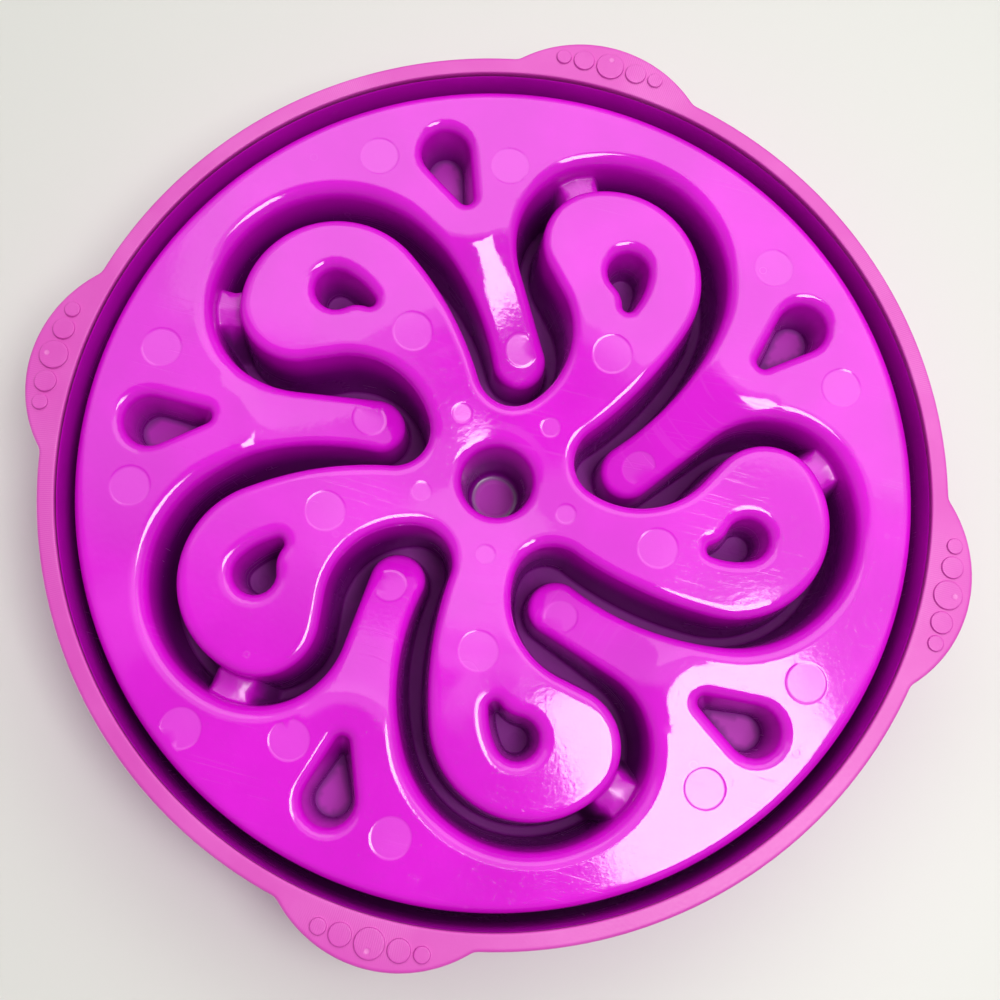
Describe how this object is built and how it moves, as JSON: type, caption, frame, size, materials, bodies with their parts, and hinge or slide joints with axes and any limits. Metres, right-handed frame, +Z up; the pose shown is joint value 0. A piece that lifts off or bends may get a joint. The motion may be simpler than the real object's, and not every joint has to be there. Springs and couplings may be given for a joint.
{
  "type": "slow feeder bowl",
  "caption": "Round plastic slow feeder bowl with a flower-shaped maze of ridges and drop-shaped posts, hollow underneath, standing on a tabbed non-slip base ring.",
  "frame": {"origin": "on the surface that the bowl stands on, under the middle of the bowl", "axes": "+Z up out of the food side, +X and +Y through the middles of two neighbouring tabs"},
  "size_m": [0.2922, 0.2922, 0.057],
  "materials": {
    "bowl_plastic": "glossy",
    "ring_rubber": "matte"
  },
  "bodies": {
    "root": {"bowl_shell": "bowl_plastic", "non_slip_base_ring": "ring_rubber"}
  },
  "joints": []
}
